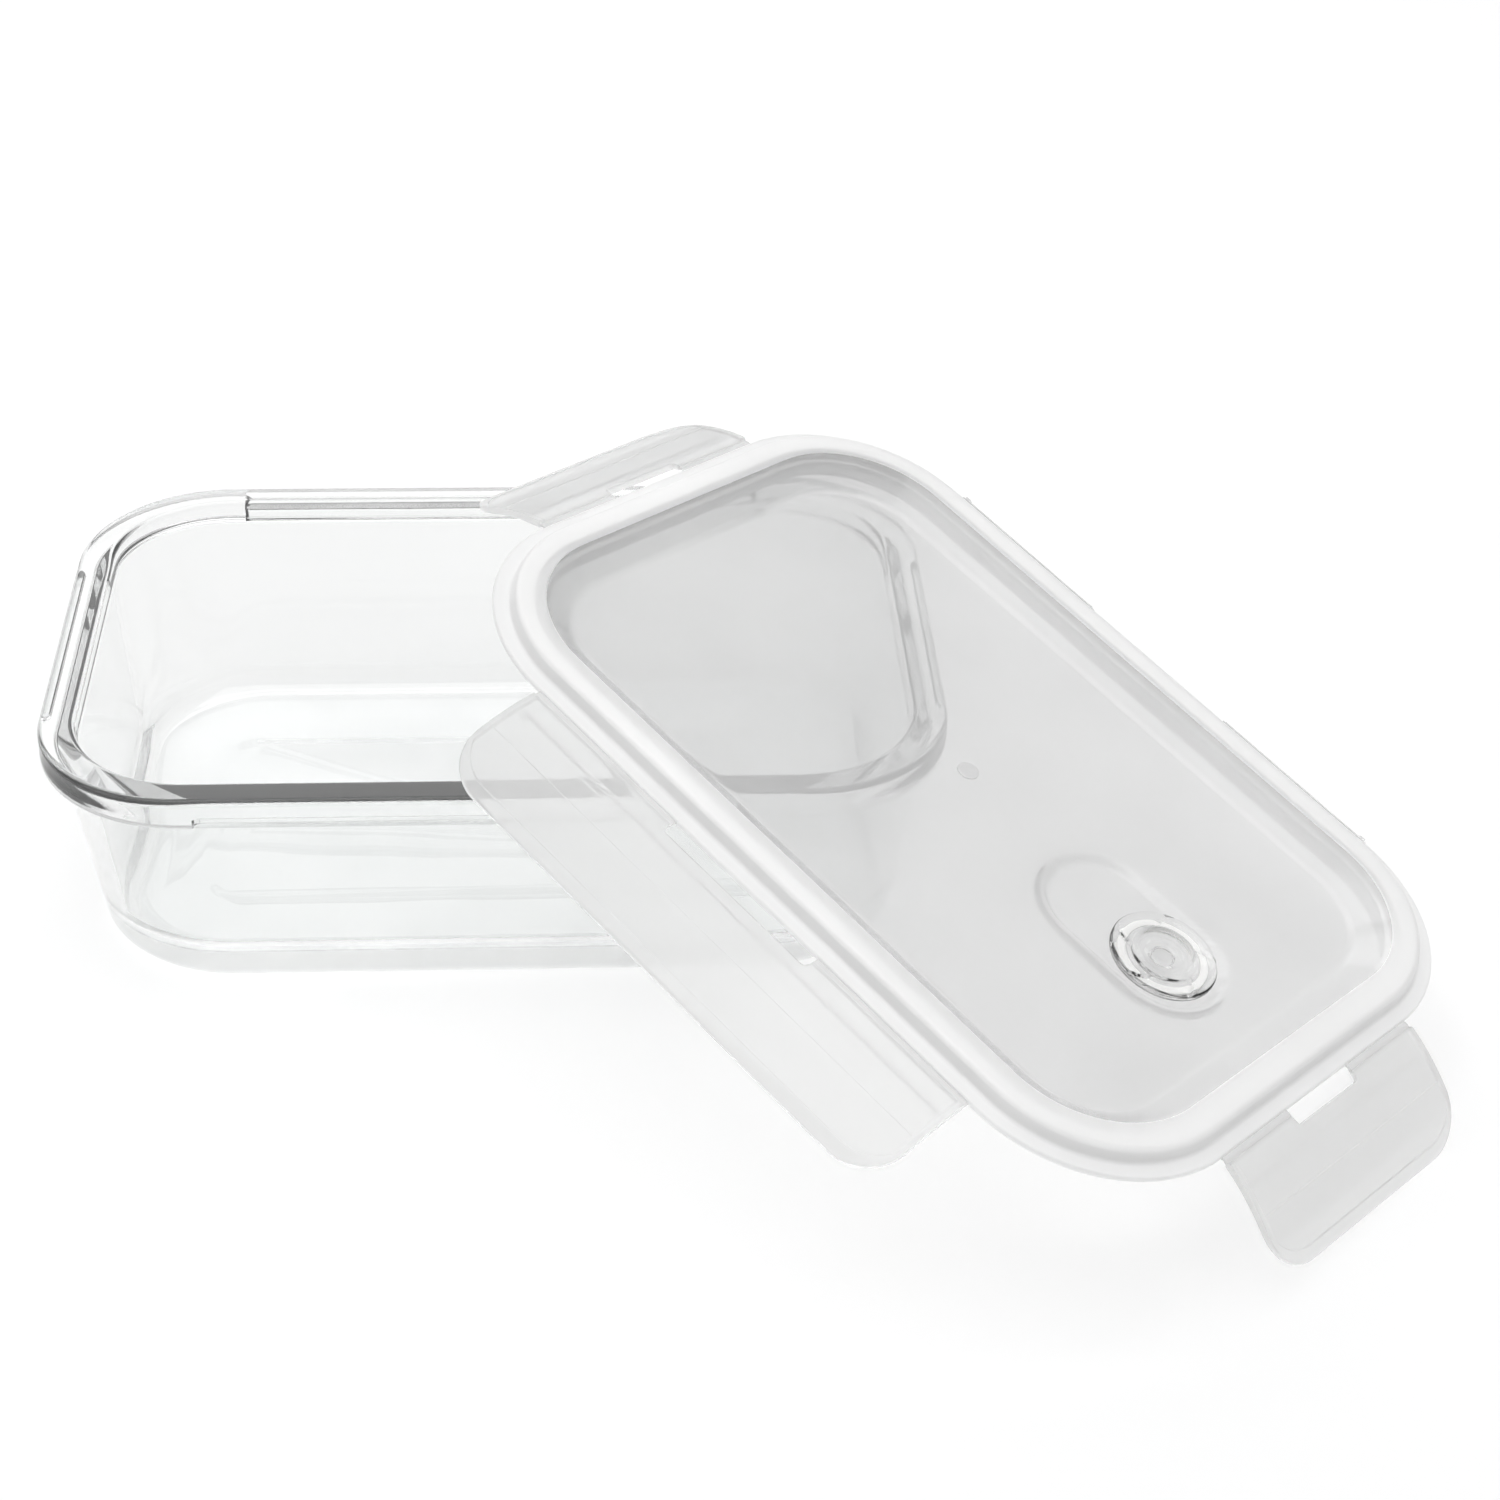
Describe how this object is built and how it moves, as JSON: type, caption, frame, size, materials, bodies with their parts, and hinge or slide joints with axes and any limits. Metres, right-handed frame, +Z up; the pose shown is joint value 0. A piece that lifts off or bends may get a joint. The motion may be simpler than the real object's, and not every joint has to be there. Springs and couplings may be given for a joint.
{
  "type": "snap lid food container",
  "caption": "Rectangular clear glass food container with a frosted plastic snap lid leaning on it: side latch flaps, silicone gasket and a pull-up steam vent.",
  "frame": {"origin": "centre of the bowl's flat foot, on the surface it stands on", "axes": "+X along the bowl's long side, +Y along its short side, +Z up"},
  "size_m": [0.3104, 0.2404, 0.0941],
  "materials": {
    "clear_glass": "clear polished",
    "frosted_lid": "translucent satin",
    "silicone": "soft matte",
    "clear_plastic": "clear gloss"
  },
  "bodies": {
    "container": {"glass_container": "clear_glass"},
    "lid": {"lid_rim": "frosted_lid", "lid_panel": "frosted_lid", "lid_gasket": "silicone", "hinge_webs_right": "frosted_lid", "hinge_webs_back": "frosted_lid", "hinge_webs_left": "frosted_lid", "hinge_webs_front": "frosted_lid"},
    "vent": {"vent_plug": "clear_plastic", "vent_seal": "silicone"},
    "flap_right": {"latch_flap_right": "frosted_lid"},
    "flap_back": {"latch_flap_back": "frosted_lid"},
    "flap_left": {"latch_flap_left": "frosted_lid"},
    "flap_front": {"latch_flap_front": "frosted_lid"}
  },
  "joints": [
    {"name": "lid_lift", "type": "slide", "parent": "container", "child": "lid", "axis": [0, 0, 1], "range_m": [0, 0.13]},
    {"name": "flap_right_hinge", "type": "hinge", "parent": "lid", "child": "flap_right", "pos_m": [0.17198, -0.13347, 0.02364], "axis": [0.7105, 0.7004, -0.0679], "range_deg": [-48, 66]},
    {"name": "flap_back_hinge", "type": "hinge", "parent": "lid", "child": "flap_back", "pos_m": [0.15545, -0.01048, 0.05153], "axis": [-0.6511, 0.691, 0.314], "range_deg": [-78, 36]},
    {"name": "flap_left_hinge", "type": "hinge", "parent": "lid", "child": "flap_left", "pos_m": [0.0359, 0.01094, 0.08926], "axis": [-0.7105, -0.7004, 0.0679], "range_deg": [-48, 66]},
    {"name": "flap_front_hinge", "type": "hinge", "parent": "lid", "child": "flap_front", "pos_m": [0.05243, -0.11204, 0.06137], "axis": [0.6511, -0.691, -0.314], "range_deg": [-36, 48]},
    {"name": "vent_pull", "type": "slide", "parent": "lid", "child": "vent", "axis": [0.2668, -0.1789, 0.947], "range_m": [0, 0.0025]}
  ]
}
